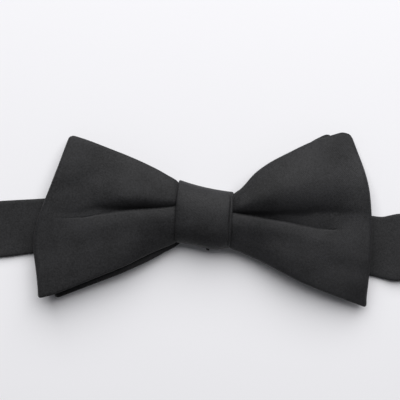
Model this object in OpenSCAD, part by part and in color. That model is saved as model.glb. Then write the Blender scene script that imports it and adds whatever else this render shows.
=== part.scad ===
// Pre-tied bow tie with an adjustable hook-and-eye neckband, lying flat on its back.
// Millimetres. X runs along the bow, Y up the face of the bow, Z out of the face.
// The origin is on the back of the knot, where the tie rests.

/* [Bow] */
// Overall width of the bow, wing tip to wing tip
bow_w = 120; // [110:1:126]
// Height of the knot
knot_h = 21.8; // [21:0.1:24]
// Width of the knot along the bow
knot_w = 20.2; // [19:0.1:21]
// Slope of the knot's top and bottom edges, in degrees
knot_slope = 7; // [4:0.5:8]
// Turn of the back bow behind the front bow, in degrees
back_turn = 3; // [0:0.5:4]
// How far the crown of the front bow stands above its waist
crown = 3.2; // [1:0.1:3.6]
// How far the wings hang down at their ends
tip_drop = 1.7; // [0:0.1:1.7]

/* [Neckband] */
// Width of the neckband
band_w = 19.2; // [18:0.1:19.4]
// Thickness of the neckband
band_t = 1.6; // [1.4:0.1:1.7]
// Width of the neckband where the knot grips it
pinch_w = 16.4; // [15:0.1:16.6]
// Length from the pinch to the fold over the eye's bar
eye_run = 172; // [150:1:190]
// Length from the bend of the band to the fold over the hook's bar
hook_run = 135; // [130:1:160]

/* [Adjuster] */
// Distance from the bend of the band to the slide
slide_at = 45; // [44:1:60]
// Outer length of the slide along the band
slide_len = 14; // [14:0.5:16]
// Diameter of the wire that the fittings are made of
wire_d = 1.8; // [1.6:0.1:1.8]

/* [Hidden] */
$fn = 40;
eps = 0.05;

cloth_black = [0.11, 0.11, 0.12];
cloth_dark = [0.08, 0.08, 0.09];
canvas = [0.80, 0.77, 0.69];
thread = [0.05, 0.05, 0.055];
nickel = [0.72, 0.72, 0.74];

// Levels, counted up from the table
wrap_t = 1.2;
band_z = wrap_t + 0.4;
band_top = band_z + band_t;
binding_z = band_top + 0.35;
binding_t = 0.35;
back_z = binding_z + binding_t;
back_h = 2.6;
front_z = back_z + back_h + 0.1;
front_h = 4.6;
stack_top = front_z + front_h + binding_t;
passage_top = stack_top + 0.1;
wrap_top = passage_top + 1.4;
wrap_r = 2.2;
wall_mid = 0.52;
wall_gap = 0.18;

// Bow outline: half widths and corner heights, all from the bow's width
half_w = bow_w / 2;
waist_h = 15.6;
waist_half = knot_w / 2 + 0.25;
back_half = half_w * 0.925;
drop_from = 30;
shell_t = 0.95;
lining_t = 0.45;
back_shell_t = 0.65;
back_lining_t = 0.5;

// Passage through the knot
passage_h = pinch_w + 0.6;

seam_y = -6;
seam_gap = 0.4;

// Neckband: the left run leaves the knot at one slope, the right run at another
pinch_half = 21;
left_slope = 4.2;
right_bend = [60, -9.8];
right_slope = 6;
root_end = 16;
band_wall = 0.55;
flare = 11;
hump_foot = 42;

// Fittings
wire_r = wire_d / 2;
bore_r = wire_r + 0.25;
fitting_half = band_w / 2 + 0.4 + wire_r;
eye_bar_z = bore_r + band_t;
eye_len = 11;
eye_tilt = asin((eye_bar_z - wire_r) / eye_len);
hook_tilt = 7;
upper_z = band_t + 0.3;
slide_tilt = 10;
slide_z = 3.8;
slide_bar = 2.2;
frame_t = 1.4;
sewn_r = bore_r + 1;
over_r = sewn_r + 0.1 + band_t / 2;

// A smooth arc of points from a to b that bows out to the left of the line by `rise`
function bowed(a, b, rise, n = 8) = [
    for (i = [0:n - 1])
        let (t = i / n, d = b - a, side = [-d[1], d[0]] / norm(d))
            a + d * t + side * rise * sin(180 * t)
];

// A strip of thickness t along a polyline: offsets at each point, joined into one outline
function along(p, i) = p[min(i + 1, len(p) - 1)] - p[max(i - 1, 0)];
function across(p, i) = let (d = along(p, i)) [-d[1], d[0]] / norm(d);
function strip(p, halves) = concat(
    [for (i = [0:len(p) - 1]) p[i] + across(p, i) * halves[i]],
    [for (i = [len(p) - 1:-1:0]) p[i] - across(p, i) * halves[i]]
);
function same(v, n) = [for (i = [1:n]) v];

// One wing's outline, from the knot's top round the end to the knot's bottom
function wing(top, tip_top, end_mid, tip_low, low, rise_top, rise_low) = concat(
    bowed(top, tip_top, rise_top),
    bowed(tip_top, end_mid, norm(end_mid - tip_top) * 0.035, 4),
    bowed(end_mid, tip_low, norm(tip_low - end_mid) * 0.03, 4),
    bowed(tip_low, low, rise_low),
    [low]
);
function flip_x(p) = [for (q = p) [-q[0], q[1]]];
function reversed(p) = [for (i = [len(p) - 1:-1:0]) p[i]];

// The two bows seen from the front
front_right = wing([waist_half, 9.4], [half_w * 0.862, 30.2], [half_w * 0.988, 1],
    [half_w * 0.95, -31.4], [waist_half, -10.9], 1, 0.8);
front_left = reversed(flip_x(wing([waist_half, 12.4], [half_w * 0.81, 28.8], [half_w, -2.2],
    [half_w * 0.98, -28.2], [waist_half, -9.4], 0.9, 0.8)));
back_start = waist_half + 0.7;
back_right = wing([back_start, 10.2], [back_half * 0.82, 27.4], [back_half, 0],
    [back_half * 0.972, -26.2], [back_start, -10.2], 1.6, 1.2);
waist_pts = [[waist_half, -waist_h / 2], [-waist_half, -waist_h / 2]];
waist_top = [[-waist_half, waist_h / 2], [waist_half, waist_h / 2]];
front_outline = concat(waist_top, front_right, waist_pts, front_left);
back_outline = concat(waist_top, back_right, waist_pts, reversed(flip_x(back_right)));

// Heights of the leaves along X: t runs from 0 at the knot to 1 at the wing's end
function reach(x, half) = max(0, (abs(x) - waist_half) / (half - waist_half));
function drop(x) = tip_drop * max(0, (abs(x) - drop_from) / (half_w - drop_from));
function front_top(x) = let (t = reach(x, half_w))
    front_z + front_h - 1.6 * t + crown * sin(180 * min(1, t)) - drop(x);
function front_low(x) = front_z - 0.1 * reach(x, half_w) - drop(x);
function back_top(x) = back_z + back_h - 0.2 * reach(x, half_w) - drop(x);
function back_low(x) = back_z - 1.5 * max(0, (abs(x) - 34) / (back_half - 34));

// Solid between two heights that follow the leaves, from x_min to x_max
module between(x_min, x_max, low_in, high_in, kind) {
    step = 4;
    n = ceil((x_max - x_min) / step);
    xs = [for (i = [0:n]) x_min + (x_max - x_min) * i / n];
    pts = concat(
        [for (x = xs) [x, (kind == "front" ? front_low(x) : back_low(x)) + low_in]],
        [for (x = reversed(xs)) [x, (kind == "front" ? front_top(x) : back_top(x)) - high_in]]
    );
    translate([0, 50, 0]) rotate([90, 0, 0]) linear_extrude(100) polygon(pts);
}

module flat_shape(pts, top = 20) {
    translate([0, 0, -1]) linear_extrude(top) polygon(pts);
}

// The outline pulled in at the wing ends and opened at the top and bottom edges
module inner_plan(pts, end_in, edge_out) {
    flat_shape([for (q = pts) let (near = abs(q[0]) < waist_half + 1)
        [q[0] - sign(q[0]) * (near ? -0.4 : end_in), q[1] + sign(q[1]) * edge_out]]);
}

module front_bow_shell() {
    color(cloth_black) difference() {
        intersection() {
            flat_shape(front_outline);
            between(-half_w - 1, half_w + 1, 0, 0, "front");
        }
        intersection() {
            inner_plan(front_outline, 1, 4);
            between(-half_w, half_w, shell_t, shell_t, "front");
        }
    }
}

module front_bow_interlining() {
    color(canvas) difference() {
        intersection() {
            inner_plan(front_outline, 1.2, -0.6);
            between(-half_w, half_w, shell_t, shell_t, "front");
        }
        for (side = [-1, 1]) intersection() {
            inner_plan(front_outline, 2, 4);
            air_x(side, waist_half + 3, half_w, "front", shell_t + lining_t);
        }
    }
}

module air_x(side, x_from, x_to, kind, wall) {
    if (side > 0) between(x_from, x_to, wall, wall, kind);
    else between(-x_to, -x_from, wall, wall, kind);
}

module back_bow_shell() {
    color(cloth_dark) rotate([0, 0, back_turn]) difference() {
        intersection() {
            flat_shape(back_outline);
            between(-back_half - 1, back_half + 1, 0, 0, "back");
        }
        intersection() {
            inner_plan(back_outline, 1, 4);
            between(-back_half, back_half, back_shell_t, back_shell_t, "back");
        }
    }
}

module back_bow_interlining() {
    color(canvas) rotate([0, 0, back_turn]) difference() {
        intersection() {
            inner_plan(back_outline, 1.2, -0.6);
            between(-back_half, back_half, back_shell_t, back_shell_t, "back");
        }
        for (side = [-1, 1]) intersection() {
            inner_plan(back_outline, 2, 4);
            air_x(side, 42, back_half, "back", back_shell_t + back_lining_t);
        }
    }
}

// Turns of thread that hold the pleats before the knot goes on
module waist_binding() {
    turns = 4;
    pitch = 0.7;
    half_y = waist_h / 2 + 0.35;
    color(thread) for (i = [0:turns - 1]) translate([(i - (turns - 1) / 2) * pitch, 0, 0])
        difference() {
            translate([-0.2, -half_y, binding_z])
                cube([0.4, 2 * half_y, stack_top - binding_z]);
            translate([-1, -waist_h / 2 - 0.1, back_z])
                cube([2, waist_h + 0.2, front_z + front_h - back_z]);
        }
}

module along_x(w) {
    rotate([90, 0, 90]) linear_extrude(w, center = true) children();
}

module knot_wrap() {
    color(cloth_black) difference() {
        intersection() {
            rotate([0, 0, -knot_slope]) translate([0, 0.3, 0]) along_x(knot_w + 6)
                ring_outer();
            translate([-knot_w / 2, -30, -1]) cube([knot_w, 60, 30]);
        }
        along_x(knot_w + 2) passage(0);
        knot_cavity(0);
        translate([-knot_w, seam_y - seam_gap / 2, -1]) cube([2 * knot_w, seam_gap, wrap_t + 2]);
    }
}

// Outside of the wrap seen along X: square at the back, rounded at the face
module ring_outer() {
    half_y = knot_h / 2;
    translate([-half_y, 0]) square([2 * half_y, wrap_top - wrap_r]);
    translate([-half_y + wrap_r, 0]) square([2 * half_y - 2 * wrap_r, wrap_top]);
    for (s = [-1, 1]) translate([s * (half_y - wrap_r), wrap_top - wrap_r]) circle(wrap_r);
}

module passage(grow) {
    translate([-passage_h / 2 - grow, wrap_t - grow])
        square([passage_h + 2 * grow, passage_top - wrap_t + 2 * grow]);
}

// Thin space inside the wrap's wall that the interlining fills
module knot_cavity(clear) {
    along_x(knot_w - 2 - 2 * clear) difference() {
        passage(wall_mid + wall_gap - clear);
        passage(wall_mid - wall_gap + clear);
    }
}

module knot_interlining() {
    color(canvas) difference() {
        knot_cavity(0.05);
        translate([-knot_w, seam_y - seam_gap / 2, -1]) cube([2 * knot_w, seam_gap, wrap_t + 2]);
    }
}

module knot_closing_stitches() {
    stitches = 7;
    pitch = 2.4;
    color(thread) for (i = [0:stitches - 1])
        translate([(i - (stitches - 1) / 2) * pitch - 0.4, seam_y - seam_gap / 2, 0.05])
            cube([0.8, seam_gap, 0.25]);
}

// Plan of the neckband's fixed stretch
left_dir = [-cos(left_slope), -sin(left_slope)];
right_dir = [cos(right_slope), -sin(right_slope)];
left_fold = [-pinch_half, 0] + left_dir * eye_run;
root_tip = right_bend + right_dir * root_end;
band_path = [left_fold, [-pinch_half - flare, 0] + [0, -flare * sin(left_slope)],
    [-pinch_half, 0], [pinch_half, 0], [pinch_half + flare, -2.4], right_bend, root_tip];
band_halves = [band_w / 2, band_w / 2, pinch_w / 2, pinch_w / 2, band_w / 2, band_w / 2, band_w / 2];

// Height of the band's underside: up over the knot's back, down to the table on each side
function band_low(x) = band_z * min(1, max(0, (hump_foot - abs(x)) / (hump_foot - pinch_half)));

module band_levels(low_in, high_in, x_left, x_right) {
    xs = [x_left, -hump_foot, -pinch_half, pinch_half, hump_foot, x_right];
    pts = concat(
        [for (x = xs) [x, band_low(x) + low_in]],
        [for (x = reversed(xs)) [x, band_low(x) + band_t - high_in]]
    );
    translate([0, 60, 0]) rotate([90, 0, 0]) linear_extrude(120) polygon(pts);
}

// Frame of the left run's fold, with +X along the band away from the knot
module at_eye() {
    translate([left_fold[0], left_fold[1], 0]) rotate([0, 0, 180 + left_slope]) children();
}

// Frame of the right run, with +X along the band away from the knot
module at_right(u = 0) {
    translate([right_bend[0], right_bend[1], 0]) rotate([0, 0, -right_slope])
        translate([u, 0, 0]) children();
}

module band_width(w = band_w) {
    translate([0, w / 2, 0]) rotate([90, 0, 0]) linear_extrude(w) children();
}

module round_bar(r, half, z) {
    translate([0, half, z]) rotate([90, 0, 0]) cylinder(r = r, h = 2 * half);
}

module neckband_shell() {
    tail = 22;
    outer_r = bore_r + band_t;
    color(cloth_black) difference() {
        union() {
            intersection() {
                flat_shape(strip(band_path, band_halves));
                band_levels(0, 0, left_fold[0] - 10, root_tip[0] + 10);
            }
            at_eye() band_width() union() {
                translate([0, eye_bar_z]) circle(outer_r);
                polygon([[0, 0], [0, eye_bar_z + outer_r], [-9, 2 * band_t],
                    [-tail, 2 * band_t], [-tail, 0]]);
            }
        }
        at_eye() round_bar(bore_r, band_w, eye_bar_z);
        band_cavity();
    }
}

// Space inside the band's tube, open at the right-hand end
module band_cavity(clear = 0) {
    inset = 1.2 + clear;
    halves = [for (h = band_halves) h - inset];
    path = concat([left_fold - left_dir * 24], [for (i = [1:5]) band_path[i]],
        [root_tip + right_dir * (clear > 0 ? 0 : 1)]);
    intersection() {
        flat_shape(strip(path, halves));
        band_levels(band_wall + clear, band_wall + clear, left_fold[0], root_tip[0] + 5);
    }
}

module neckband_interlining() {
    color(canvas) band_cavity(eps);
}

module eye_loop_stitching() {
    per_row = 7;
    pitch = 2.4;
    color(thread) at_eye() for (row = [-20, -11], i = [0:per_row - 1])
        translate([row, (i - (per_row - 1) / 2) * pitch - 0.8, 2 * band_t])
            cube([0.45, 1.6, 0.25]);
}

module eye_ring() {
    color(nickel) at_eye() translate([0, 0, eye_bar_z]) rotate([0, eye_tilt, 0]) {
        for (x = [0, eye_len]) translate([x, 0, 0]) round_bar(wire_r, fitting_half, 0);
        for (s = [-1, 1]) translate([0, s * fitting_half, 0]) {
            rotate([0, 90, 0]) cylinder(r = wire_r, h = eye_len);
            for (x = [0, eye_len]) translate([x, 0, 0]) sphere(wire_r);
        }
    }
}

// Stretch of the band between its fixed part and the slide
module feed_run() {
    start = root_end + 0.05;
    color(cloth_black) at_right(start)
        band_width() square([slide_at - slide_len / 2 + 2.2 - start, band_t]);
}

// Three-bar slide: two flat bars, a round bar between them and two sides
module adjuster_frame() {
    color(nickel) at_right(slide_at) translate([0, 0, slide_z]) rotate([0, -slide_tilt, 0]) {
        for (s = [-1, 1]) {
            translate([s * (slide_len / 2 - slide_bar / 2) - slide_bar / 2, -fitting_half, -frame_t / 2])
                cube([slide_bar, 2 * fitting_half, frame_t]);
            translate([-slide_len / 2, s * fitting_half - wire_r, -frame_t / 2])
                cube([slide_len, 2 * wire_r, frame_t]);
        }
        round_bar(wire_r, fitting_half, 0);
    }
}

// The band's hump over the slide's middle bar
module strap_over_slide() {
    arc = [for (a = [170:-20:30]) [over_r * cos(a), slide_z + over_r * sin(a)]];
    path = concat([[-4.0, 0.85], [-3.4, 2]], arc, [[3.6, 3.5], [5, upper_z + band_t / 2]]);
    color(cloth_black) at_right(slide_at) band_width()
        polygon(strip(path, same(band_t / 2, len(path))));
}

// The band's end, wrapped round the middle bar and sewn to itself
module strap_sewn_end() {
    color(cloth_black) at_right(slide_at) difference() {
        band_width() union() {
            translate([0, slide_z]) circle(sewn_r);
            translate([-1, 0]) square([6.3, 1.4]);
            translate([-1, 1]) square([2, 2]);
        }
        round_bar(bore_r, band_w, slide_z);
    }
}

module sewn_end_bartack() {
    per_row = 8;
    pitch = 2.1;
    color(thread) at_right(slide_at) for (x = [2.6, 4.2], i = [0:per_row - 1])
        translate([x, (i - (per_row - 1) / 2) * pitch - 0.6, 1.4]) cube([0.4, 1.2, 0.2]);
}

// Doubled stretch between the slide and the fold over the hook's bar
run_from = slide_at + 5.6;
run_to = hook_run - 10;

module outgoing_run() {
    color(cloth_black) at_right(run_from) band_width()
        translate([0, upper_z]) square([run_to - run_from - 0.05, band_t]);
}

module return_run() {
    color(cloth_black) at_right(run_from) band_width()
        square([run_to - run_from - 0.05, band_t]);
}

hook_bar_z = bore_r + band_t;

module hook_fold() {
    outer_r = bore_r + band_t;
    color(cloth_black) at_right(hook_run) difference() {
        band_width() difference() {
            union() {
                translate([0, hook_bar_z]) circle(outer_r);
                polygon([[-10, 0], [0, 0], [0, 2 * hook_bar_z], [-6, 2 * band_t + 0.6],
                    [-10, 2 * band_t + 0.3]]);
            }
            translate([-11, band_t]) square([6, upper_z - band_t]);
        }
        round_bar(bore_r, band_w, hook_bar_z);
    }
}

// Wire hook: a bar in the fold, two arms, a cross plate and a tongue bent back over itself
module hook() {
    arm = 6;
    plate = 3;
    tongue_w = 9;
    tongue_t = 1.2;
    tongue_end = 15;
    bend_r = 1.8;
    bend = [for (a = [-90:30:90]) [tongue_end + bend_r * cos(a), bend_r + bend_r * sin(a)]];
    path = concat([[arm + 1, 0]], bend, [[tongue_end - 4, 2 * bend_r], [tongue_end - 7, 2 * bend_r - 0.5]]);
    color(nickel) at_right(hook_run) translate([0, 0, hook_bar_z]) rotate([0, hook_tilt, 0]) {
        round_bar(wire_r, fitting_half, 0);
        for (s = [-1, 1]) translate([0, s * fitting_half, 0]) {
            rotate([0, 90, 0]) cylinder(r = wire_r, h = arm);
            sphere(wire_r);
            translate([arm, 0, 0]) sphere(wire_r);
        }
        translate([arm - wire_r, -fitting_half, -wire_r + 0.2])
            cube([plate, 2 * fitting_half, 2 * wire_r - 0.4]);
        band_width(tongue_w) polygon(strip(path, same(tongue_t / 2, len(path))));
    }
}

neckband_shell();
neckband_interlining();
eye_loop_stitching();
feed_run();
front_bow_shell();
front_bow_interlining();
back_bow_shell();
back_bow_interlining();
waist_binding();
knot_wrap();
knot_interlining();
knot_closing_stitches();
adjuster_frame();
strap_over_slide();
strap_sewn_end();
sewn_end_bartack();
outgoing_run();
return_run();
hook_fold();
hook();
eye_ring();
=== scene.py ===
"""Pre-tied black bow tie, lying on its back: two satin bows in a knot wrap on a hook-and-eye band.

Lengths in this file are millimetres until mesh_from() turns them into metres.
X runs along the bow, Y up its face and Z out of the table.
"""
import math

import bmesh
import bpy
from mathutils import Matrix, Vector, noise


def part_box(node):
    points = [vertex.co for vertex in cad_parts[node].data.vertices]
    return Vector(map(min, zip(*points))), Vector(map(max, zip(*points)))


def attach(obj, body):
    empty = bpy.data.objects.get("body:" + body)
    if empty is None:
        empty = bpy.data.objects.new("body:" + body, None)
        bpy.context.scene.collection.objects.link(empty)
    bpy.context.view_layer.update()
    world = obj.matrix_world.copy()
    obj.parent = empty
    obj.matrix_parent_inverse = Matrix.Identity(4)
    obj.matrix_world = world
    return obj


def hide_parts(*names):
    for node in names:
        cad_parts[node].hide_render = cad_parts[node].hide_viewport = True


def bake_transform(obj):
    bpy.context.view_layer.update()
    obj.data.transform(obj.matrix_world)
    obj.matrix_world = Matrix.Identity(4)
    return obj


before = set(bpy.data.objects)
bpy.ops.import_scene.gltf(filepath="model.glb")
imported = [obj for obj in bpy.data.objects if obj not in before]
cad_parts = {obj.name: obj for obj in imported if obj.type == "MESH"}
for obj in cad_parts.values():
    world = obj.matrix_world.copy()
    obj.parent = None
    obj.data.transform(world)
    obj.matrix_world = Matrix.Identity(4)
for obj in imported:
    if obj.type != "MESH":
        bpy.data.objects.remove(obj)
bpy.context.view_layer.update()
MM = 0.001


# ---------------------------------------------------------------- sizes from the frame

def top_of(node):
    """Height of a CAD node's top in millimetres."""
    return Vector(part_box(node)[1]).z / MM


KNOT_TOP = top_of("knot_wrap")
WAIST_TOP = KNOT_TOP - 1.8
# Lowest cloth of the back bow, its front leaf, and the lowest cloth of the front bow
BACK_BASE = 3.9
BACK_LEAF = BACK_BASE + 2.0
FRONT_BASE = top_of("back_bow_shell") + 0.1
# Thickness of the neckband, and the back bow's turn about the knot in degrees
BAND_T = 1.6
BACK_TURN = 3


# ---------------------------------------------------------------- small geometry helpers

def hermite(a, b, slope_a, slope_b, t):
    """Value at t on the curve from a to b that leaves and arrives at the given slopes."""
    square, cube = t * t, t * t * t
    return a * (2 * cube - 3 * square + 1) + slope_a * (cube - 2 * square + t) \
        + b * (3 * square - 2 * cube) + slope_b * (cube - square)


def smooth(x, stops):
    """Value at x on a smooth line through (position, value) stops."""
    last = len(stops) - 1
    if x <= stops[0][0]:
        return stops[0][1]
    if x >= stops[last][0]:
        return stops[last][1]
    i = next(k for k in range(last) if x <= stops[k + 1][0])

    def slope(k):
        before, after = stops[max(k - 1, 0)], stops[min(k + 1, last)]
        return (after[1] - before[1]) / (after[0] - before[0])

    span = stops[i + 1][0] - stops[i][0]
    return hermite(stops[i][1], stops[i + 1][1], slope(i) * span, slope(i + 1) * span,
                   (x - stops[i][0]) / span)


def curve(points):
    """A smooth curve through points, as a function of the share of its length."""
    points = [Vector(p) for p in points]
    runs = [0.0]
    for a, b in zip(points, points[1:]):
        runs.append(runs[-1] + (b - a).length)
    stops = list(zip(runs, points))
    return lambda t: smooth(min(max(t, 0), 1) * runs[-1], stops)


def ease(x, start, stop):
    """0 before start, 1 after stop, and smooth between them."""
    t = min(1, max(0, (x - start) / (stop - start)))
    return t * t * (3 - 2 * t)


def spread(n):
    """n + 1 evenly spaced numbers from 0 to 1."""
    return [i / n for i in range(n + 1)]


def evenly(count, gap):
    """Places at equal gaps on both sides of 0."""
    return [gap * (k - (count - 1) / 2) for k in range(count)]


def arc(centre_y, centre_z, radius, start, stop, steps):
    """Points (y, z) on an arc, angles in degrees."""
    return [(centre_y + radius * math.cos(math.radians(start + (stop - start) * t)),
             centre_z + radius * math.sin(math.radians(start + (stop - start) * t)))
            for t in spread(steps)]


def mesh_from(name, rows, closed=False, ring=False, caps=False):
    """A mesh through rows of points in millimetres, with a UV map in millimetres of cloth.

    closed joins the last row to the first, and ring joins each row's last point to its first.
    caps closes the ends of a ring whose rows run out over one face and back under the other.
    """
    count, width = len(rows), len(rows[0])
    verts = [p * MM for row in rows for p in row]
    along = [0.0]
    for a, b in zip(rows, rows[1:]):
        along.append(along[-1] + sum((q - p).length for p, q in zip(a, b)) / width)
    across = [[0.0] for _ in rows]
    for row, run in zip(rows, across):
        for a, b in zip(row, row[1:]):
            run.append(run[-1] + (b - a).length)
    faces, uvs = [], []
    for i in range(count if closed else count - 1):
        for j in range(width if ring else width - 1):
            i2, j2 = (i + 1) % count, (j + 1) % width
            faces.append((i * width + j, i * width + j2, i2 * width + j2, i2 * width + j))
            u0 = along[i]
            u1 = along[i2] if i2 else along[i] + (rows[0][j] - rows[i][j]).length
            v = [across[i][j], across[i][j2], across[i2][j2], across[i2][j]]
            if j2 == 0:
                v[1] = v[0] + (row_gap := (rows[i][j2] - rows[i][j]).length)
                v[2] = v[3] + row_gap
            uvs += [(u0, v[0]), (u0, v[1]), (u1, v[2]), (u1, v[3])]
    if caps:
        for row, base in ((rows[0], 0), (rows[-1], (count - 1) * width)):
            for j in range(width // 2 - 1):
                corners = (j, j + 1, width - 2 - j, width - 1 - j)
                faces.append(tuple(base + c for c in (corners[::-1] if base == 0 else corners)))
                uvs += [(row[c].y, row[c].z) for c in (corners[::-1] if base == 0 else corners)]
    mesh = bpy.data.meshes.new(name)
    mesh.from_pydata(verts, [], faces)
    layer = mesh.uv_layers.new(name="cloth")
    for corner, uv in zip(layer.data, uvs):
        corner.uv = uv
    for face in mesh.polygons:
        face.use_smooth = True
    obj = bpy.data.objects.new(name, mesh)
    bpy.context.scene.collection.objects.link(obj)
    return obj


def normals_of(rows, closed):
    """Unit normal at each point of a grid of points."""
    last = len(rows[0]) - 1
    grid = []
    for i, row in enumerate(rows):
        ahead = rows[(i + 1) % len(rows)] if closed else rows[min(i + 1, len(rows) - 1)]
        behind = rows[i - 1] if closed or i else row
        line_of = []
        for j in range(last + 1):
            over = row[min(j + 1, last)] - row[max(j - 1, 0)]
            line_of.append((ahead[j] - behind[j]).cross(over).normalized())
        grid.append(line_of)
    return grid


# Share of the half thickness at a folded edge and at the column next to it
RIM = (0.3, 0.82)
# Half thicknesses of a bow's cloth and of interlining
CLOTH_HALF, LINING_HALF = 0.45, 0.12


def skin(name, rows, half, material, closed=False):
    """A closed piece of cloth round a grid of middle points, with rounded long edges."""
    last = len(rows[0]) - 1
    rings = []
    for row, normals in zip(rows, normals_of(rows, closed)):
        over, under = [], []
        for j, (p, n) in enumerate(zip(row, normals)):
            edge = min(j, last - j)
            lift = n * half * (RIM[edge] if edge < len(RIM) else 1)
            over.append(p + lift)
            under.append(p - lift)
        rings.append(over + under[::-1])
    obj = mesh_from(name, rings, closed=closed, ring=True, caps=not closed)
    outward(obj)
    obj.data.materials.append(material)
    return obj


def inlay(name, rows, material, closed=False, trim=2):
    """The interlining of a piece: a thin sheet on the same middle points, short of its edges."""
    return skin(name, [row[trim:-trim] for row in rows], LINING_HALF, material, closed)


def outward(obj):
    """Turn a closed mesh's faces to look outwards."""
    work = bmesh.new()
    work.from_mesh(obj.data)
    bmesh.ops.recalc_face_normals(work, faces=work.faces)
    work.to_mesh(obj.data)
    work.free()


def joined(name, parts, material):
    """One object from several."""
    work = bmesh.new()
    for part in parts:
        work.from_mesh(part.data)
        bpy.data.objects.remove(part)
    mesh = bpy.data.meshes.new(name)
    work.to_mesh(mesh)
    work.free()
    obj = bpy.data.objects.new(name, mesh)
    bpy.context.scene.collection.objects.link(obj)
    obj.data.materials.append(material)
    return obj


def thread_run(points, radius, closed=False):
    """A thread along points, thinner at its ends where it dives into the cloth."""
    sides, rows = 8, []
    # Any direction that no thread runs along
    leaning = Vector((0.31, 0.12, 1))
    for i, p in enumerate(points):
        ahead = points[(i + 1) % len(points)] if closed else points[min(i + 1, len(points) - 1)]
        behind = points[i - 1] if closed or i else p
        along = (ahead - behind).normalized()
        side = along.cross(leaning).normalized()
        over = side.cross(along)
        thin = 1 if closed or 0 < i < len(points) - 1 else 0.35
        rows.append([p + (side * math.cos(a) + over * math.sin(a)) * radius * thin
                     for a in (2 * math.pi * k / sides for k in range(sides))])
    obj = mesh_from("thread_run", rows, closed=closed, ring=True, caps=not closed)
    outward(obj)
    return obj


def stitch(a, b, lift, radius=0.16):
    """One stitch from a to b that stands up by lift in the middle."""
    return thread_run([a.lerp(b, t) + Vector((0, 0, lift * math.sin(math.pi * t))) for t in spread(6)],
                      radius)


def smoothed(points, longest=6.0, passes=2):
    """A smooth line through rounded corners: long stretches are divided, then corners are cut."""
    line_of = [points[0]]
    for a, b in zip(points, points[1:]):
        parts = max(1, math.ceil((b - a).length / longest))
        line_of += [a.lerp(b, k / parts) for k in range(1, parts + 1)]
    for _ in range(passes):
        cut = [line_of[0]]
        for a, b in zip(line_of, line_of[1:]):
            cut += [a.lerp(b, 0.25), a.lerp(b, 0.75)]
        line_of = cut + [line_of[-1]]
    return line_of


# ---------------------------------------------------------------- materials

def principled(name, color, roughness):
    """A plain material and its shader node."""
    mat = bpy.data.materials.new(name)
    mat.use_nodes = True
    shader = mat.node_tree.nodes["Principled BSDF"]
    shader.inputs["Base Color"].default_value = (*color, 1)
    shader.inputs["Roughness"].default_value = roughness
    return mat, shader


def grain(mat, vector, scale, detail):
    """Noise for a material, read at vector."""
    tex = mat.node_tree.nodes.new("ShaderNodeTexNoise")
    tex.inputs["Scale"].default_value = scale
    tex.inputs["Detail"].default_value = detail
    mat.node_tree.links.new(vector, tex.inputs["Vector"])
    return tex.outputs["Fac"]


def add_relief(mat, shader, height, strength, distance):
    """Raise a material's surface by height, as a bump."""
    raised = mat.node_tree.nodes.new("ShaderNodeBump")
    raised.inputs["Strength"].default_value = strength
    raised.inputs["Distance"].default_value = distance
    mat.node_tree.links.new(height, raised.inputs["Height"])
    mat.node_tree.links.new(raised.outputs["Normal"], shader.inputs["Normal"])


# A wave texture of scale 1 repeats at this distance
WAVE_REPEAT = 0.314


def cloth_material(name, dark, light, pitch, sheen, bump, roughness=0.72):
    """Twill cloth: diagonal ribs across fine threads, with slow changes of tone."""
    mat, shader = principled(name, dark, roughness)
    nodes, links = mat.node_tree.nodes, mat.node_tree.links
    uv = nodes.new("ShaderNodeUVMap")
    uv.uv_map = "cloth"
    place = nodes.new("ShaderNodeTexCoord").outputs["Object"]

    def wave(angle, size, strength):
        turn = nodes.new("ShaderNodeMapping")
        turn.inputs["Rotation"].default_value = (0, 0, angle)
        links.new(uv.outputs["UV"], turn.inputs["Vector"])
        tex = nodes.new("ShaderNodeTexWave")
        tex.wave_profile = "SIN"
        tex.inputs["Scale"].default_value = WAVE_REPEAT / size
        tex.inputs["Distortion"].default_value = strength
        tex.inputs["Detail"].default_value = 1
        tex.inputs["Detail Scale"].default_value = 2
        links.new(turn.outputs["Vector"], tex.inputs["Vector"])
        return tex.outputs["Fac"]

    def mix(a, b, share):
        node = nodes.new("ShaderNodeMix")
        node.inputs["Factor"].default_value = share
        links.new(a, node.inputs["A"])
        links.new(b, node.inputs["B"])
        return node.outputs["Result"]

    ribs = wave(math.radians(38), pitch, 0.6)
    threads = wave(math.radians(-52), pitch * 0.6, 0.8)
    weave = mix(ribs, threads, 0.35)
    fuzz = grain(mat, place, 1700, 2)
    slow = grain(mat, place, 60, 2)
    patches = grain(mat, place, 260, 2)
    height = mix(weave, fuzz, 0.45)

    tone = nodes.new("ShaderNodeMapRange")
    tone.inputs["From Min"].default_value = 0.35
    tone.inputs["From Max"].default_value = 0.65
    links.new(mix(mix(slow, patches, 0.25), mix(weave, fuzz, 0.8), 0.55), tone.inputs["Value"])
    color = nodes.new("ShaderNodeMix")
    color.data_type = "RGBA"
    color.inputs["A"].default_value = (*dark, 1)
    color.inputs["B"].default_value = (*light, 1)
    links.new(tone.outputs["Result"], color.inputs["Factor"])
    links.new(color.outputs["Result"], shader.inputs["Base Color"])

    add_relief(mat, shader, height, bump, 0.00014)
    shader.inputs["Sheen Weight"].default_value = sheen
    shader.inputs["Sheen Roughness"].default_value = 0.45
    shader.inputs["Specular IOR Level"].default_value = 0.27
    return mat


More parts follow.
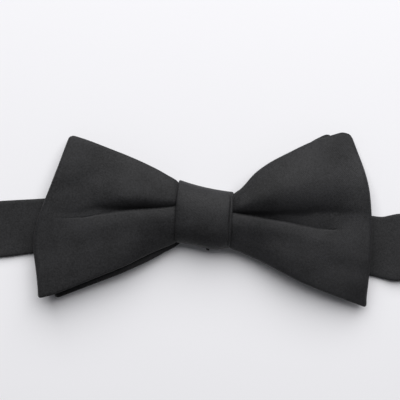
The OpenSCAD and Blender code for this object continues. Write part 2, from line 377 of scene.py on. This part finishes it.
def metal_material():
    """Satin nickel wire: fine drawn lines and a little tarnish."""
    mat, shader = principled("nickel", (0.62, 0.61, 0.58), 0.3)
    nodes, links = mat.node_tree.nodes, mat.node_tree.links
    place = nodes.new("ShaderNodeTexCoord").outputs["Object"]
    stretch = nodes.new("ShaderNodeMapping")
    stretch.inputs["Scale"].default_value = (60, 900, 900)
    links.new(place, stretch.inputs["Vector"])
    lines = grain(mat, stretch.outputs["Vector"], 3, 4)
    patches = grain(mat, place, 180, 2)
    rough = nodes.new("ShaderNodeMapRange")
    rough.inputs["To Min"].default_value = 0.2
    rough.inputs["To Max"].default_value = 0.42
    links.new(patches, rough.inputs["Value"])
    links.new(rough.outputs["Result"], shader.inputs["Roughness"])
    add_relief(mat, shader, lines, 0.25, 0.00005)
    shader.inputs["Metallic"].default_value = 1
    return mat


satin = cloth_material("black_satin", (0.003, 0.0031, 0.0036), (0.0247, 0.0248, 0.0272),
                       pitch=0.42, sheen=0.03, bump=0.6, roughness=0.6)
canvas = cloth_material("interlining", (0.50, 0.46, 0.37), (0.66, 0.61, 0.50),
                        pitch=0.7, sheen=0.05, bump=0.8, roughness=0.9)
thread = cloth_material("thread", (0.010, 0.010, 0.011), (0.022, 0.022, 0.024),
                        pitch=0.25, sheen=0.3, bump=0.6)
nickel = metal_material()


# ---------------------------------------------------------------- bows

class Wing:
    """One wing of a bow: u runs from the knot to the wing's end, s from its low edge to its top."""

    def __init__(self, low, top, end, corners):
        self.low, self.top = curve(low), curve(top)
        self.side = 1 if low[-1][0] > 0 else -1
        self.length = (Vector(top[-1]) - Vector(top[0])).length
        self.height = (Vector(top[-1]) - Vector(low[-1])).length
        self.end, self.corners = end, corners

    def plan(self, u, s):
        """Point on the table below (u, s)."""
        u, s = self.rounded(u, s)
        point = self.low(u).lerp(self.top(u), s)
        point.x += self.side * smooth(s, self.end) * u ** 4
        return point

    def rounded(self, u, s):
        """(u, s) pulled in at the wing's corners, whose radii are (low, top)."""
        for radius, edge in ((self.corners[0], 0.0), (self.corners[1], 1.0)):
            a = 1 - (1 - u) * self.length / radius
            b = 1 - abs(s - edge) * self.height / radius
            if a > 0 and b > 0:
                inset = (1 - b * math.sqrt(1 - a * a / 2)) * radius / self.height
                return (1 - (1 - a * math.sqrt(1 - b * b / 2)) * radius / self.length,
                        inset if edge == 0 else edge - inset)
        return u, s

    def share_at(self, u, line_of):
        """Share at which row u meets a line of (distance from the middle, y) stops, and its distance."""
        low, top = self.low(u), self.top(u)
        s = 0.5
        for _ in range(4):
            x = abs(self.plan(u, s).x)
            s = (smooth(x, line_of) - low.y) / (top.y - low.y)
        return s, x


LEFT = Wing([(-9.4, -7.9), (-10.8, -9.0), (-18.8, -12.4), (-27.9, -16.8), (-39.3, -21.5), (-53, -27.0),
             (-58.9, -28.6)],
            [(-8.6, 11.5), (-9.9, 13.3), (-12.4, 14.8), (-17, 17.4), (-24.6, 21.0), (-34.5, 25.0),
             (-42, 27.9), (-47.9, 29.8)],
            [(0, 0), (0.07, 1.0), (0.18, 2.9), (0.27, 4.6), (0.36, 5.7), (0.48, 5.5), (0.63, 3.9),
             (0.78, 2.1), (1, 0)], (0.8, 1.7))
RIGHT = Wing([(8.2, -9.6), (9.8, -11.0), (12.6, -12.0), (16.2, -13.6), (21.5, -16.1), (26.9, -18.9),
              (34, -22.6), (41, -25.6), (50.2, -29.2), (57.9, -32.2)],
             [(9.8, 7.9), (11.6, 8.9), (14, 11.4), (17.8, 15.7), (22.8, 19.4), (30.2, 23.3),
              (37.7, 26.9), (45, 29.4), (52, 31.5)],
             [(0, 0), (0.06, 0.3), (0.16, 1.3), (0.21, 1.9), (0.35, 3.4), (0.53, 4.5), (0.63, 4.6),
              (0.735, 3.9), (0.84, 2.5), (0.9, 1.5), (1, 0)], (0.8, 3.4))

# Each front wing has one deep pleat. Everything about it is a smooth line through stops along the
# distance from the bow's middle. The lower lobe climbs from low_edge to its lip, whose place up the
# wing is lip_line, and lies over the cloth above it. Past the lip the pleat's floor runs for a width
# of hollow, from height shelf, soon higher by rise, to trough. From there the upper lobe climbs to
# crest, at the share crest_at of its width, and falls to top_edge. The floor starts under the lip,
# tuck below it.
LEFT_PLEAT = {
    "lip_line": [(9, 3.9), (17, 2.9), (23, 2.5), (30, 1.85), (37, 0.85), (44, -0.5), (50, -0.85),
                 (56, -1.1), (62, -1.5)],
    "low_edge": [(9, 8.15), (17, 8.15), (23, 8.7), (30, 9.5), (44, 10.0), (60, 10.2)],
    "lip": [(9, 11.0), (12, 11.3), (23, 11.3), (30, 11.2), (37, 10.9), (44, 10.4), (52, 9.9), (60, 9.2)],
    "shelf": [(9, 9.5), (12, 9.8), (17, 9.4), (23, 8.5), (30, 8.2), (34, 9.0), (38, 10.0), (44, 10.15),
              (50, 9.95), (54, 9.75), (60, 9.2)],
    "rise": [(9, 0), (28, 0), (34, 0.4), (44, 0.2), (52, 0), (60, 0)],
    "trough": [(9, 9.5), (12, 9.8), (17, 9.4), (23, 8.5), (30, 8.6), (34, 9.8), (38, 10.5), (44, 10.7),
               (50, 10.0), (54, 9.75), (60, 9.2)],
    "crest": [(9, 10.1), (11.5, 11.4), (17, 11.9), (23, 12.2), (30, 12.3), (37, 12.0), (44, 11.2),
              (52, 10.1), (60, 9.2)],
    "crest_at": [(9, 0.25), (17, 0.25), (23, 0.26), (37, 0.24), (44, 0.33), (60, 0.45)],
    "top_edge": [(9, 8.6), (11.5, 9.7), (30, 9.5), (60, 9.0)],
    "hollow": [(9, 0.5), (17, 1.0), (24, 1.4), (28, 1.6), (34, 2.6), (40, 3.7), (44, 3.8), (52, 3),
               (60, 1.5)],
    "tuck": [(9, 2.2), (30, 2.2), (37, 1.0), (42, 0), (60, 0)],
}
RIGHT_PLEAT = {
    "lip_line": [(9, 1.6), (13.9, 0.65), (19.1, -0.26), (24.3, -1.2), (29.5, -2.05), (34.7, -3.2),
                 (39.9, -4.15), (45, -4.7), (52, -4.8), (60, -4.7)],
    "low_edge": [(8, 8.15), (16, 8.15), (25, 8.3), (34, 8.5), (48, 8.7), (60, 8.8)],
    "lip": [(9, 11.0), (12, 11.3), (21, 11.3), (27, 11.0), (34, 10.7), (41, 10.4), (48, 10.2),
            (54, 9.9), (60, 9.6)],
    "shelf": [(9, 9.0), (12, 8.6), (16, 8.1), (24, 7.8), (30, 7.8), (34, 8.1), (38, 8.7), (42, 9.4),
              (46, 10.1), (54, 9.9), (60, 9.6)],
    "rise": [(9, 0), (16, 0.3), (24, 1.2), (30, 1.3), (35, 0.9), (41, 0.6), (48, 0), (60, 0)],
    "trough": [(9, 9.0), (12, 8.7), (16, 8.4), (24, 9.2), (30, 9.5), (35, 9.4), (41, 9.9), (48, 10.3),
               (51, 10.2), (55, 10.0), (60, 9.6)],
    "crest": [(9, 10.0), (11.5, 11.8), (16, 12.9), (25, 13.8), (34, 14.0), (41, 13.7), (48, 12.8),
              (54, 11.3), (60, 10.1)],
    "crest_at": [(9, 0.3), (16, 0.36), (25, 0.42), (41, 0.44), (60, 0.48)],
    "top_edge": [(9, 8.6), (11.5, 9.5), (25, 9.1), (37, 8.5), (48, 8.1), (60, 8.1)],
    "hollow": [(9, 0.3), (14, 1.2), (19, 2.0), (24.5, 3.1), (30, 4.3), (35, 5.5), (40, 6.9), (45, 7.5),
               (51, 7.1), (60, 6.8)],
    "tuck": [(9, 2.2), (40, 2.2), (52, 1.0), (58, 0), (60, 0)],
}
# The lower lobe falls a little over this last stretch before the lip
LIP_REACH, LIP_FALL = 4.5, 0.6
# Step down from the lip to the floor at which the lip is a full, crisp edge
CRISP_STEP = 1.2

# Columns across a leaf, close together at the folded edges
LOWER = [0, 0.012, 0.035] + [i / 22 for i in range(2, 23)]
UPPER = [i / 26 for i in range(25)] + [0.965, 0.988, 1]
# The turn of the pleat's lip, as (shift across the leaf, fall)
TURN = [(0.3, 0.3), (0.25, 0.65), (-0.2, 0.9)]
TURN_FLAT = 0.3


def wrinkle(x, y, seed):
    """Slow unevenness of handled cloth."""
    broad = noise.noise(Vector((x * 0.045, y * 0.06, seed)))
    fine = noise.noise(Vector((x * 0.13, y * 0.16, seed + 7)))
    return 0.45 * broad + 0.14 * fine


# Soft folds of the front wings: (start, end, height, width)
FOLDS = [
    ((42, -16), (58, -18.5), -0.4, 3.0), ((38, -8), (58, -9), 0.2, 3.0),
    ((21, -11.5), (33, -15.5), 0.1, 2.0), ((13, -7.5), (27, -8), -0.2, 2.4),
    ((-54, 9), (-36, 16), -0.35, 2.4),
    ((-50, -10.5), (-28, -7), -0.22, 3.0), ((24, 12), (38, 20), 0.2, 2.0),
]


def folds(x, y):
    """Height that the soft folds add at a point, fading out at their ends."""
    total = 0
    for start, end, height, width in FOLDS:
        run = Vector(end) - Vector(start)
        from_start = Vector((x, y)) - Vector(start)
        share = from_start.dot(run) / run.length_squared
        if -0.3 < share < 1.3:
            off = abs(run.cross(from_start)) / run.length / width
            total += height * math.exp(-off * off) * ease(share, -0.3, 0.25) * (1 - ease(share, 0.75, 1.3))
    return total


# Every wing hangs down from DROP_FROM to its end
TIP_DROP, DROP_FROM, WING_END = 1.7, 30, 60
# Below their middle the bows are also pulled down beside the knot, as far out as (left, right)
NECK_DROP, NECK_ENDS = 2.1, (30, 34)


def drooped(point):
    """A point of a bow lowered by the droop of its wing and of its corners, and beside the knot."""
    x, y, out = point.x, point.y, abs(point.x)
    end = TIP_DROP * max(0, (out - DROP_FROM) / (WING_END - DROP_FROM))
    if x < 0:
        top = 2.4 * ease(out, 30, 48) * max(0, (y - 13) / 16) ** 1.7
        low = 0
    else:
        top = 3.2 * ease(out, 34, 54) * ease(y, 10, 26)
        low = ease(out, 34, 58) * ease(-y, 16, 28) + 1.8 * ease(out, 46, 58) * ease(-y, 23, 32)
    neck = NECK_DROP * (1 - ease(out, 14, NECK_ENDS[x > 0])) * ease(out, 4, 9) * ease(-y, -2, 16)
    return Vector((x, y, point.z - end - top - low - neck))


def pleated_row(wing, pleat, u, seed):
    """The front leaf across the wing at u: the lower lobe, the pleat's lip, the upper lobe."""
    s_lip, at = wing.share_at(u, pleat["lip_line"])
    low_edge, lip, shelf, rise, trough, crest, crest_at, top_edge, hollow, tuck = (
        smooth(at, pleat[key]) for key in
        ("low_edge", "lip", "shelf", "rise", "trough", "crest", "crest_at", "top_edge", "hollow", "tuck"))
    height = (wing.top(u) - wing.low(u)).length
    tuck, hollow = tuck / height, hollow / height
    crisp = min(1, max(0, lip - shelf) / CRISP_STEP)
    fade = smooth(u, [(0, 0.2), (0.3, 1), (1, 0.8)])
    row = []

    def add(s, z):
        p = wing.plan(u, s)
        row.append(Vector((p.x, p.y, z + fade * wrinkle(p.x, p.y, seed) + folds(p.x, p.y))))

    def lower(s):
        near = max(0, 1 - (s_lip - s) * height / LIP_REACH)
        return low_edge + (lip - low_edge) * (1 - (1 - s / s_lip) ** 2.5) ** 0.85 \
            - LIP_FALL * crisp * near * near

    def upper(s):
        q = (s - s_lip - hollow) / (1 - s_lip - hollow)
        if q <= 0:
            k = max(0, s - s_lip) / hollow
            return shelf + rise * k ** 0.6 + (trough - shelf - rise) * max(0, (k - 0.4) / 0.6) ** 2
        if q < crest_at:
            return trough + (crest - trough) * (1 - ((crest_at - q) / crest_at) ** 2.2) ** 0.62
        k = min(1, (q - crest_at) / (1 - crest_at))
        return top_edge + (crest - top_edge) * (1 - k ** 1.6)

    for t in LOWER:
        s = s_lip * (1 - (1 - t) ** 1.25)
        add(s, lower(s))
    for k, (shift, fall) in enumerate(TURN):
        add(s_lip + (crisp * shift + (1 - crisp) * TURN_FLAT * (k + 1)) / height,
            lower(s_lip) - fall * crisp)
    first = s_lip + (1 - crisp) * TURN_FLAT * (len(TURN) + 1) / height - crisp * tuck
    for t in UPPER:
        s = first + (1 - first) * t ** 1.35
        add(s, upper(s))
    return row


def plain_row(wing, u, height, seed):
    """A row with as many points as a pleated one, on a flat leaf."""
    row = []
    for s in flat_columns():
        p = wing.plan(u, s)
        row.append(Vector((p.x, p.y, height + 0.5 * wrinkle(p.x, p.y, seed))))
    return row


def flat_columns():
    """Shares of a leaf's width at the columns of a row with no pleat."""
    step = 0.008
    lower = [0.5 * t for t in LOWER]
    lip = [0.5 + step * (k + 1) for k in range(len(TURN))]
    first = 0.5 + step * (len(TURN) + 1)
    return lower + lip + [first + (1 - first) * t for t in UPPER]


def waist_row(x, half_y, z, crown, folds=0.3):
    """A row across the gathered middle of a bow."""
    return [Vector((x, half_y * (2 * s - 1),
                    z + crown * (1 - (2 * s - 1) ** 2) + folds * math.sin(6 * math.pi * s)))
            for s in flat_columns()]


# Where a wing starts to turn over at its end, how far out its rear leaf starts, and its rows
FOLD_FROM, REAR_FROM = 0.978, 0.93
FRONT_STEPS, REAR_STEPS = 46, 26


def wing_rows(wing, pleat, rear_z, seed, back=False):
    """Front leaf from the knot to the end, round the fold, and the rear leaf back to the knot."""
    def front(u):
        return back_front_row(wing, u, seed) if back else pleated_row(wing, pleat, u, seed)

    rows = [front(FOLD_FROM * t ** 0.9) for t in spread(FRONT_STEPS)]
    start = rows[-1]
    for angle in range(10, 181, 17):
        turn = math.radians(angle)
        out = FOLD_FROM + (1 - FOLD_FROM) * math.sin(turn)
        share = (1 - math.cos(turn)) / 2
        row = []
        for near, far, first in zip(front(out), plain_row(wing, out, 0, seed), start):
            spot = near.lerp(far, share)
            spot.z = rear_z + 0.1 + (first.z - rear_z - 0.1) * (1 + math.cos(turn)) / 2
            row.append(spot)
        rows.append(row)
    return rows + [plain_row(wing, REAR_FROM * (1 - t), rear_z, seed + 3) for t in spread(REAR_STEPS)]


def back_front_row(wing, u, seed):
    """The back bow's front leaf, pressed flat by the front bow."""
    lift = smooth(u, [(0, 0), (0.5, 0.15), (1, 0)])
    row = plain_row(wing, u, BACK_LEAF, seed)
    for p, s in zip(row, flat_columns()):
        p.z += lift * math.sin(math.pi * s)
    return row


def bow_rows(right, left, front_z, rear_z, half_y, back=False):
    """One closed loop of cloth: right wing, rear of the waist, left wing, front of the waist."""
    def waist(line_of, z, crown):
        return [waist_row(x, y, z, crown) for x, y in line_of]

    inside = [(7.2, half_y + 0.3), (3, half_y), (-3, half_y), (-7.2, half_y)]
    right_rows = wing_rows(right, RIGHT_PLEAT, rear_z, 1.7, back)
    left_rows = wing_rows(left, LEFT_PLEAT, rear_z, 5.3, back)
    return right_rows + waist(inside, rear_z, 0) + left_rows[::-1] + waist(inside[::-1], front_z, 1.2)


def hung(rows, degrees=0):
    """Rows turned about the knot, with their wings hanging down."""
    turn = Matrix.Rotation(math.radians(degrees), 3, "Z")
    return [[drooped(turn @ p) for p in row] for row in rows]


front_rows = hung(bow_rows(RIGHT, LEFT, WAIST_TOP - 2.1, FRONT_BASE + 0.6, 7.5))
front_bow = skin("front_bow", front_rows, CLOTH_HALF, satin, closed=True)
front_lining = inlay("front_bow_lining", front_rows, canvas, closed=True)

BACK_LOW = [(9.2, -8.6), (11, -9.8), (15.2, -11.8), (20.4, -14.25), (30.5, -18.2), (40.7, -21.55),
            (54.7, -26.1)]
BACK_TOP = [(9.2, 7.2), (11, 8.2), (13.5, 9.7), (20.8, 15.4), (31.3, 20.9), (41.6, 26.2), (46.2, 28.1)]
BACK_END = [(0, 0), (0.25, 3.8), (0.5, 5.0), (0.75, 3.8), (1, 0)]
BACK_RIGHT = Wing(BACK_LOW, BACK_TOP, BACK_END, (1.2, 1.6))
BACK_LEFT = Wing([(-x, y) for x, y in BACK_LOW], [(-x, y) for x, y in BACK_TOP], BACK_END, (1.2, 1.6))
back_rows = hung(bow_rows(BACK_RIGHT, BACK_LEFT, BACK_LEAF, BACK_BASE + 0.5, 7.3, back=True),
                 BACK_TURN)
back_bow = skin("back_bow", back_rows, CLOTH_HALF, satin, closed=True)
back_lining = inlay("back_bow_lining", back_rows, canvas, closed=True)


# ---------------------------------------------------------------- knot

WRAP_HALF = 0.52
# Columns across the knot, close together at its edges and at the groove beside its right edge
KNOT_COLUMNS = [-1, -0.985, -0.95, -0.88, -0.75, -0.55, -0.3, 0, 0.3, 0.55, 0.72, 0.82, 0.85, 0.875, 0.9,
                0.94, 0.98, 1]
# The knot's lower edge, as (x, y)
KNOT_LOW = [(-10, -8.7), (-6, -9.3), (-2, -10.1), (3.5, -11.3), (6.5, -11.3), (10, -10.6)]
SEAM_Y = -6.0
# The column of that groove; the face lies a step lower past it
GROOVE_AT = 0.875
# Rise of the knot's face towards its top edge, per millimetre
KNOT_TILT = 0.058


def knot_edges(y):
    """Left and right edge of the knot at height y up its face."""
    return -10.4 + 0.0047 * (y + 3.5) ** 2, 9.7 + 0.075 * y


def wrap_section(c):
    """The wrap's middle line at column c (-1 left to 1 right): from the back seam, up round the face."""
    x = 10 * c
    top = 10.9 - 0.22 * x + 0.006 * x * x - WRAP_HALF
    low = smooth(x, KNOT_LOW) + WRAP_HALF
    roll = (0.7 if c < 0 else 0.25) * abs(c) ** 5
    step = 0.45 * ease(c, GROOVE_AT - 0.01, GROOVE_AT + 0.02)
    groove = 0.5 * math.exp(-((c - GROOVE_AT) / 0.02) ** 2)
    crown = KNOT_TOP - WRAP_HALF - roll - step - groove
    rear = WRAP_HALF + 0.05 + 0.3 * abs(c) ** 6
    r_back, side_z, bend = 1.6, 6.2, 2.2
    section = [(SEAM_Y + 0.25, rear), (-2, rear), (2, rear), (top - r_back - 2, rear)]
    section += arc(top - r_back, rear + r_back, r_back, -80, 0, 5)
    section += [(top, side_z - 1.2)]
    middle, half = (top + low) / 2, (top - low) / 2
    for angle in range(0, 181, 6):
        a = math.radians(angle)
        across = math.copysign(abs(math.cos(a)) ** (2 / bend), math.cos(a))
        section.append((middle + half * across,
                        side_z + (crown + KNOT_TILT * half * across - side_z) * math.sin(a) ** (2 / bend)))
    section += [(low, side_z - 1.2)]
    section += arc(low + r_back, rear + r_back, r_back, 180, 260, 5)
    section += [(SEAM_Y - 0.9, rear), (SEAM_Y - 0.25, rear)]
    points = []
    for y, z in section:
        left_x, right_x = knot_edges(y)
        points.append(Vector((left_x + (right_x - left_x) * (c + 1) / 2, y, z)))
    return points


sections = [wrap_section(c) for c in KNOT_COLUMNS]
knot_rows = [list(row) for row in zip(*sections)]
knot = skin("knot", knot_rows, WRAP_HALF, satin)
knot_lining = inlay("knot_lining", knot_rows[1:-1], canvas)

closing = [stitch(Vector((x, SEAM_Y - 1.1, 0.16)), Vector((x + 0.9, SEAM_Y + 1.1, 0.16)), -0.02, 0.13)
           for x in evenly(7, 2.4)]
# A cut end of the closing thread that stands out below the knot
closing.append(thread_run([Vector((0.7, -10.3, 3.4)), Vector((0.9, -11.0, 3.9)), Vector((1.4, -11.4, 4.7)),
                           Vector((1.0, -11.2, 5.6)), Vector((0.7, -10.4, 5.9))], 0.42))
knot_stitches = joined("knot_stitches", closing, thread)


def binding_turn(x):
    """One turn of thread round the gathered waist of both bows."""
    low, half_y, r = BACK_BASE - 0.28, 7.95, 1.2
    section = arc(half_y - r, low + r, r, -90, 0, 4)
    section += [(half_y * (1 - 2 * t), WAIST_TOP + 0.4 - 2.0 * (1 - 2 * t) ** 2) for t in spread(12)]
    section += arc(r - half_y, low + r, r, 180, 270, 4)
    return thread_run([Vector((x, y, z)) for y, z in section], 0.2, closed=True)


binding = joined("waist_thread", [binding_turn(x) for x in evenly(4, 0.7)], thread)


# ---------------------------------------------------------------- neckband

BAND_HALF_T = 0.78
HALF_W = 9.6
BAND_COLUMNS = [-1, -0.985, -0.94, -0.85, -0.65, -0.4, -0.15, 0.15, 0.4, 0.65, 0.85, 0.94, 0.985, 1]
LEFT_SLOPE, RIGHT_SLOPE = math.radians(4.2), math.radians(6)
# The left run starts to slope at this X and is this long; the right run bends beside the bow
LEFT_START, LEFT_RUN = -21, 172
LEFT_FOLD = Vector((LEFT_START - LEFT_RUN * math.cos(LEFT_SLOPE), -LEFT_RUN * math.sin(LEFT_SLOPE)))
RIGHT_BEND = Vector((60, -9.8))
# Inside radius of the folds round the hook's and the eye's bars
FOLD_R = 1.15
# Heights: those bars, the slide's middle bar, the band's middle where it lies flat, its sewn-back
# tail over the left run, and the adjuster's upper run
BAR_Z = FOLD_R + BAND_T
SLIDE_Z = 3.8
FLAT_Z = BAND_T / 2
TAIL_Z = BAND_T * 1.5 + 0.02
UPPER_Z = BAND_T + 0.3 + BAND_T / 2
# Places along the right run: the slide's middle bar, the hook's bar, and how far before the slide
# the band passes into the adjuster's loop
SLIDE_U, HOOK_U = 45, 135
FEED = 5.9


def at_left(u, z):
    """Point on the left run, u outwards from its fold over the eye's bar."""
    return Vector((LEFT_FOLD.x - u * math.cos(LEFT_SLOPE), LEFT_FOLD.y - u * math.sin(LEFT_SLOPE), z))


def at_right(u, z=0.0):
    """Point on the right run, u outwards from the bend."""
    return Vector((RIGHT_BEND.x + u * math.cos(RIGHT_SLOPE), RIGHT_BEND.y - u * math.sin(RIGHT_SLOPE), z))


def station(centre, angle, half_w):
    """A place on a strap: its centre, its width's direction and half its width, as one vector."""
    return Vector((centre.x, centre.y, centre.z, -math.sin(angle), math.cos(angle), half_w))


def strap_rows(stations):
    """Rows of points across a strap that runs smoothly through its stations."""
    return [[Vector((x + side_x * half_w * c, y + side_y * half_w * c, z)) for c in BAND_COLUMNS]
            for x, y, z, side_x, side_y, half_w in smoothed(stations)]


def fold_round(place, u0, angle, start, stop):
    """Stations on the arc of a fold round a fitting's bar at u0, from start to stop in degrees."""
    return [station(place(u0 + du, z), angle, HALF_W)
            for du, z in arc(0, BAR_Z, FOLD_R + BAND_T / 2, start, stop, 9)]


left = [station(at_left(u, TAIL_Z), LEFT_SLOPE, HALF_W) for u in (-22, -9)]
left += fold_round(at_left, 0, LEFT_SLOPE, 80, -90)
left += [station(at_left(-6, FLAT_Z), LEFT_SLOPE, HALF_W)]
# (x, shift up the table, half width) along the left run
for x, shift, half_w in ((-150, 0, 9.6), (-110, 0, 9.7), (-80, -0.3, 10.3), (-70, -0.25, 10.15),
                         (-60, 0.0, 9.7), (-42, 0, 9.6)):
    left.append(station(Vector((x, (x - LEFT_START) * math.tan(LEFT_SLOPE) + shift, FLAT_Z)), LEFT_SLOPE,
                        half_w))
# The band is drawn in and lifted where it passes under the knot
left += [station(Vector((-31, -0.73, 1.6)), LEFT_SLOPE, 8.4),
         station(Vector((-22, 0, 2.3)), LEFT_SLOPE / 2, 7.2)]
# Right side: (x, middle y, half width, lift) down to the straight run; the cloth has spread and
# stands a little off the table
SPREAD = [(42, -4.8, 9.8, 0), (50, -7.6, 10.3, 0), (58, -9.7, 10.7, 0), (63.4, -10.7, 10.9, 0),
          (66.2, -10.65, 11.65, 0.3), (70.0, -10.7, 12.4, 0.9), (76, -11.0, 11.8, 0.9),
          (85, -12.43, 9.9, 0.2)]
right = [station(Vector((22, 0, 2.3)), -RIGHT_SLOPE / 2, 7.2),
         station(Vector((32, -2.2, 1.5)), -0.2, 8.8)]
right += [station(Vector((x, y, FLAT_Z + lift)), -0.2 if x < 55 else -RIGHT_SLOPE, w)
          for x, y, w, lift in SPREAD]
right += [station(at_right(u, FLAT_Z), -RIGHT_SLOPE, HALF_W) for u in (30, SLIDE_U - FEED)]
band_rows = strap_rows(left + right)
band = skin("neckband", band_rows, BAND_HALF_T, satin)

lining_rows = [row for row in band_rows if row[0].x > LEFT_FOLD.x + 3][6:-3]
band_lining = inlay("neckband_lining", lining_rows, canvas)


def in_slide(points):
    """Stations at (distance along the run from the slide's middle bar, height)."""
    return [station(at_right(SLIDE_U + du, z), -RIGHT_SLOPE, HALF_W) for du, z in points]


loop = in_slide([(-FEED, FLAT_Z), (-4.4, 0.9), (-3.5, 1.9)])
loop += in_slide(arc(0, SLIDE_Z, 3.05, 170, 35, 8))
loop += in_slide([(3.5, 3.4), (5.2, UPPER_Z)])
loop += [station(at_right(u, UPPER_Z), -RIGHT_SLOPE, HALF_W) for u in (SLIDE_U + 9, HOOK_U - 10)]
loop += fold_round(at_right, HOOK_U, -RIGHT_SLOPE, 100, -90)
loop += [station(at_right(u, FLAT_Z), -RIGHT_SLOPE, HALF_W) for u in (HOOK_U - 7, SLIDE_U + 6)]
adjuster_loop = skin("adjuster_loop", strap_rows(loop), BAND_HALF_T, satin)

end = in_slide([(6.2, FLAT_Z), (3, 0.72), (0.2, 1.2), (-1.2, 2.35)])
end += in_slide(arc(0, SLIDE_Z, 1.66, 200, -35, 12))
end += in_slide([(1.3, 2.2), (2.4, 1.75), (4.4, 1.72)])
sewn_end = skin("sewn_end", strap_rows(end), 0.42, satin)


# ---------------------------------------------------------------- thread rows

def stitch_rows(spots, across, half_length, lift, radius=0.16):
    """Stitches across a strap: a row at each spot, and in it one at each place across."""
    return [stitch(spot + Vector((0, y - half_length, 0)), spot + Vector((0, y + half_length, 0)),
                   lift, radius)
            for spot in spots for y in across]


eye_spots = [at_left(u, 2 * BAND_T + 0.06) for u in (-20, -11)]
eye_stitches = joined("eye_loop_stitches", stitch_rows(eye_spots, evenly(7, 2.4), 0.9, 0.12), thread)
tack_spots = [at_right(SLIDE_U + du, 2.12) for du in (2.8, 4.0)]
bartack = joined("bartack", stitch_rows(tack_spots, evenly(8, 2.1), 0.7, 0.08, 0.12), thread)

for node in ("adjuster_frame", "hook", "eye_ring"):
    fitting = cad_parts[node]
    fitting.data.materials.clear()
    fitting.data.materials.append(nickel)


# ---------------------------------------------------------------- stage, lights and camera

FLOOR_HALF = 8000
floor = mesh_from("floor", [[Vector((x, y, 0)) for y in (-FLOOR_HALF, FLOOR_HALF)]
                            for x in (-FLOOR_HALF, FLOOR_HALF)])
floor_mat = principled("floor", (0.872, 0.872, 0.902), 0.9)[0]
floor.data.materials.append(floor_mat)


def area_light(name, place, target, size, power, color):
    """A rectangular light at place that shines on target; lengths in metres."""
    data = bpy.data.lights.new(name, "AREA")
    data.shape = "RECTANGLE"
    data.size, data.size_y = size
    data.energy = power
    data.color = color
    obj = bpy.data.objects.new(name, data)
    obj.location = place
    obj.rotation_euler = (Vector(target) - Vector(place)).to_track_quat("-Z", "Y").to_euler()
    bpy.context.scene.collection.objects.link(obj)


area_light("window", (0.1, 0.70, 0.78), (0, 0, 0), (1.4, 1.25), 20, (1, 0.995, 0.99))

world = bpy.data.worlds.new("studio")
world.use_nodes = True
world.node_tree.nodes["Background"].inputs["Color"].default_value = (0.95, 0.96, 1, 1)
world.node_tree.nodes["Background"].inputs["Strength"].default_value = 0.10
bpy.context.scene.world = world
bpy.context.scene.view_settings.view_transform = "Standard"

# The view's width and middle, at this height over the table
VIEW_WIDTH, VIEW_Z = 142.3, 8
VIEW_CENTRE = (-1.6, 6.4)
LENS, SENSOR = 90, 36
camera_data = bpy.data.cameras.new("camera")
camera_data.lens = LENS
camera_data.sensor_width = SENSOR
camera = bpy.data.objects.new("camera", camera_data)
camera.location = Vector((*VIEW_CENTRE, VIEW_WIDTH * LENS / SENSOR + VIEW_Z)) * MM
bpy.context.scene.collection.objects.link(camera)
bpy.context.scene.camera = camera


# ---------------------------------------------------------------- join to the frame

def finished(piece, body, slot, *nodes):
    """Put a piece on its body and hide the CAD nodes it stands for. The slot argument is not used."""
    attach(piece, body)
    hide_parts(*nodes)


finished(front_bow, "bow", "black_satin", "front_bow_shell")
finished(front_lining, "bow", "interlining", "front_bow_interlining")
finished(back_bow, "bow", "black_satin", "back_bow_shell")
finished(back_lining, "bow", "interlining", "back_bow_interlining")
finished(knot, "bow", "black_satin", "knot_wrap")
finished(knot_lining, "bow", "interlining", "knot_interlining")
finished(knot_stitches, "bow", "thread", "knot_closing_stitches")
finished(binding, "bow", "thread", "waist_binding")
finished(eye_stitches, "band", "thread", "eye_loop_stitching")
finished(bartack, "slide", "thread", "sewn_end_bartack")
finished(sewn_end, "slide", "black_satin", "strap_sewn_end")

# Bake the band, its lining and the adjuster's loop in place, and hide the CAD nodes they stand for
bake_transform(band)
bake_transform(band_lining)
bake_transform(adjuster_loop)
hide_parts("neckband_shell", "feed_run")
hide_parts("neckband_interlining")
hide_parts("strap_over_slide", "outgoing_run", "return_run", "hook_fold")
